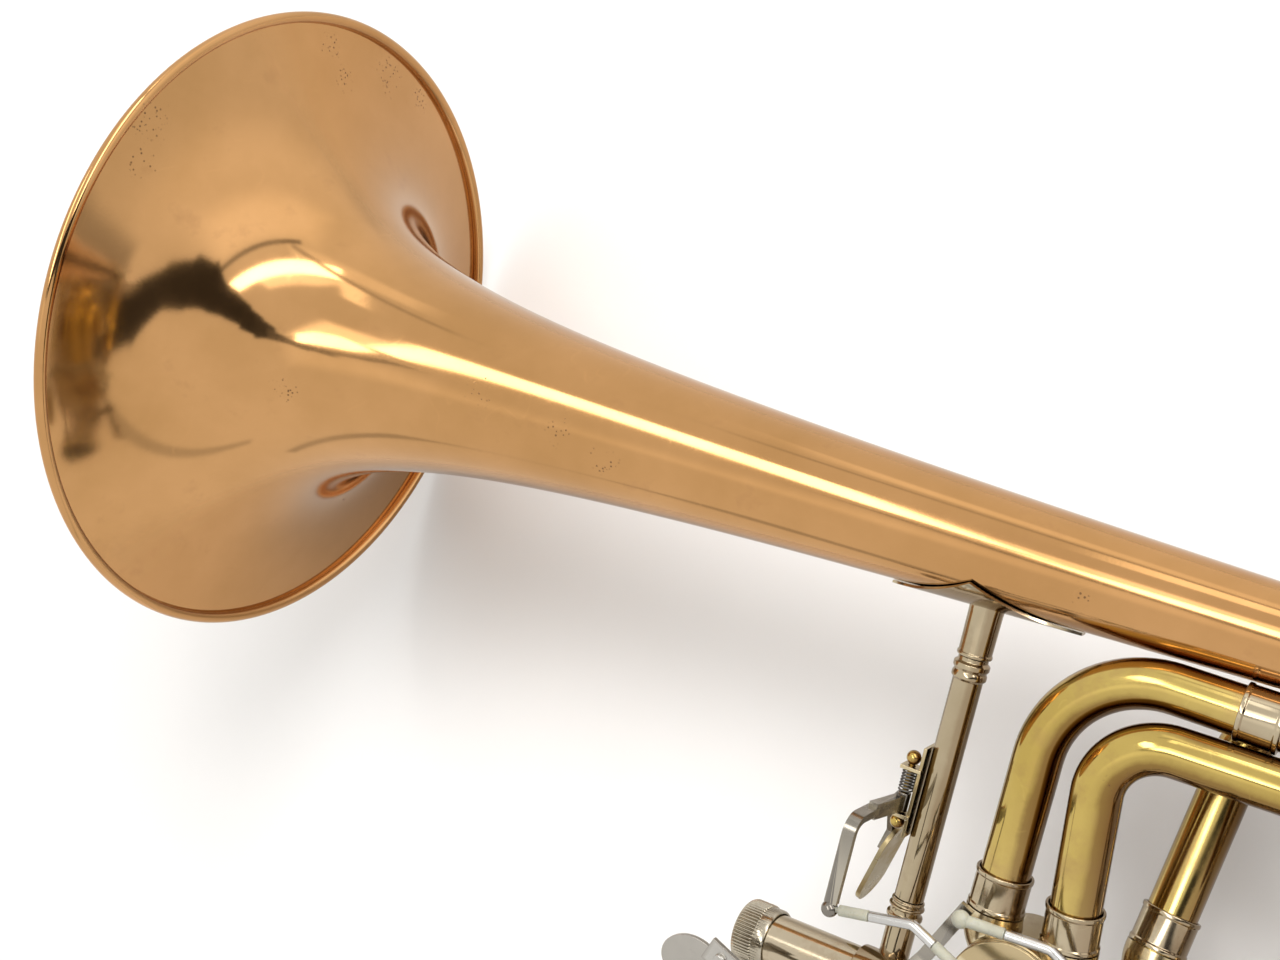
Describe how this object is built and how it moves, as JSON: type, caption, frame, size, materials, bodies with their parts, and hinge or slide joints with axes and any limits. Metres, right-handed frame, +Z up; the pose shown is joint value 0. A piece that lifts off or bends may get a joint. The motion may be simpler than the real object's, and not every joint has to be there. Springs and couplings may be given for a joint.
{
  "type": "bass trombone bell section",
  "caption": "Bell section of a bass trombone: flared bell, slide receiver, two rotary valves in line with their loops, levers, links and tuning slides.",
  "frame": {"origin": "centre of the bounding box at the surface the part lies on", "axes": "+X from the bell mouth to the tuning bow, +Y from the slide receiver to the bell, +Z up"},
  "size_m": [0.6536, 0.2792, 0.2388],
  "materials": {
    "rose_brass": "polished",
    "yellow_brass": "polished",
    "nickel_silver": "satin",
    "dark_steel": "dark oiled",
    "grey_steel": "satin",
    "aluminium": "satin",
    "nylon": "translucent",
    "cork_rubber": "matt"
  },
  "bodies": {
    "bell_section": {"bell": "rose_brass", "brace_collar": "yellow_brass", "brace_flange": "yellow_brass", "brace_tube": "nickel_silver", "elbow_ferrule_a": "nickel_silver", "elbow_ferrule_b": "nickel_silver", "elbow_ferrule_c": "nickel_silver", "finger_post": "yellow_brass", "finger_spring": "grey_steel", "first_outer_brace": "nickel_silver", "first_outer_tube_far": "nickel_silver", "first_outer_tube_near": "nickel_silver", "loop_tube_a": "yellow_brass", "loop_tube_b": "yellow_brass", "loop_tube_c": "yellow_brass", "loop_tube_d": "yellow_brass", "main_outer_brace": "nickel_silver", "main_outer_tube_bell": "nickel_silver", "main_outer_tube_neck": "nickel_silver", "neckpipe": "yellow_brass", "rear_neck_tube": "yellow_brass", "second_outer_tube_far": "nickel_silver", "second_outer_tube_near": "nickel_silver", "slide_receiver": "yellow_brass", "thumb_hinge_rod": "yellow_brass", "thumb_saddle": "yellow_brass", "thumb_spring": "grey_steel", "valve_1_bumpers": "cork_rubber", "valve_1_cap": "yellow_brass", "valve_1_casing": "yellow_brass", "valve_1_far_plate": "yellow_brass", "valve_2_bumpers": "cork_rubber", "valve_2_cap": "yellow_brass", "valve_2_casing": "yellow_brass", "valve_2_far_plate": "yellow_brass", "valve_link_tube": "yellow_brass"},
    "main_slide": {"main_slide_bow": "yellow_brass", "main_slide_brace": "nickel_silver"},
    "first_slide": {"first_slide_crook": "yellow_brass", "first_slide_brace": "nickel_silver"},
    "second_slide": {"second_slide_crook": "yellow_brass", "second_slide_brace": "nickel_silver"},
    "nut": {"lock_nut": "yellow_brass"},
    "thumb": {"thumb_lever": "yellow_brass", "thumb_paddle": "yellow_brass"},
    "thumb_link": {"link_1_lever_socket": "nylon", "link_1_rod": "aluminium", "link_1_rotor_socket": "nylon"},
    "finger": {"finger_lever": "yellow_brass", "finger_plate": "nickel_silver", "finger_clamp": "yellow_brass"},
    "finger_link": {"link_2_lever_socket": "nylon", "link_2_rod": "aluminium", "link_2_rotor_socket": "nylon"},
    "first_rotor": {"valve_1_rotor": "yellow_brass", "valve_1_stop_arm": "grey_steel", "valve_1_arm_screw": "dark_steel"},
    "second_rotor": {"valve_2_rotor": "yellow_brass", "valve_2_stop_arm": "grey_steel", "valve_2_arm_screw": "dark_steel"}
  },
  "joints": [
    {"name": "main_slide_pull", "type": "slide", "parent": "bell_section", "child": "main_slide", "axis": [0.9927, 0, -0.1207], "range_m": [0, 0.055]},
    {"name": "first_slide_pull", "type": "slide", "parent": "bell_section", "child": "first_slide", "axis": [0.9927, 0, -0.1207], "range_m": [0, 0.032]},
    {"name": "second_slide_pull", "type": "slide", "parent": "bell_section", "child": "second_slide", "axis": [0.9927, 0, -0.1207], "range_m": [0, 0.03]},
    {"name": "lock_nut_turn", "type": "hinge", "parent": "bell_section", "child": "nut", "pos_m": [-0.07107, -0.12841, 0.06616], "axis": [0.9975, 0.071, 0.0011], "continuous": true},
    {"name": "thumb_press", "type": "hinge", "parent": "bell_section", "child": "thumb", "pos_m": [-0.02859, -0.06597, 0.07504], "axis": [-0.0189, -0.9877, -0.1553], "range_deg": [0, 27.1], "stiffness_Nm_per_rad": 0.06, "springref_deg": -20.05},
    {"name": "thumb_link_swing", "type": "hinge", "parent": "thumb", "child": "thumb_link", "pos_m": [-0.02962, -0.10021, 0.10132], "axis": [-0.0189, -0.9877, -0.1553], "range_deg": [-22.2, 0]},
    {"name": "first_rotor_turn", "type": "hinge", "parent": "bell_section", "child": "first_rotor", "pos_m": [0.02087, -0.10436, 0.06749], "axis": [0.1192, -0.1564, 0.9805], "range_deg": [0, 90]},
    {"name": "finger_press", "type": "hinge", "parent": "bell_section", "child": "finger", "pos_m": [-0.01375, -0.12779, 0.08683], "axis": [-0.1192, 0.1564, -0.9805], "range_deg": [0, 20.05], "stiffness_Nm_per_rad": 0.08, "springref_deg": -20.05},
    {"name": "finger_link_swing", "type": "hinge", "parent": "finger", "child": "finger_link", "pos_m": [0.00816, -0.08767, 0.09556], "axis": [-0.1192, 0.1564, -0.9805], "range_deg": [-29.4, 0]},
    {"name": "second_rotor_turn", "type": "hinge", "parent": "bell_section", "child": "second_rotor", "pos_m": [0.06877, -0.10513, 0.04726], "axis": [-0.1192, 0.1564, -0.9805], "range_deg": [0, 90]}
  ],
  "couplings": [
    {"joint": "first_rotor_turn", "follows": "thumb_press", "ratio": 3.32},
    {"joint": "thumb_link_swing", "follows": "thumb_press", "ratio": -0.8159},
    {"joint": "second_rotor_turn", "follows": "finger_press", "ratio": 4.48},
    {"joint": "finger_link_swing", "follows": "finger_press", "ratio": -1.4604}
  ]
}
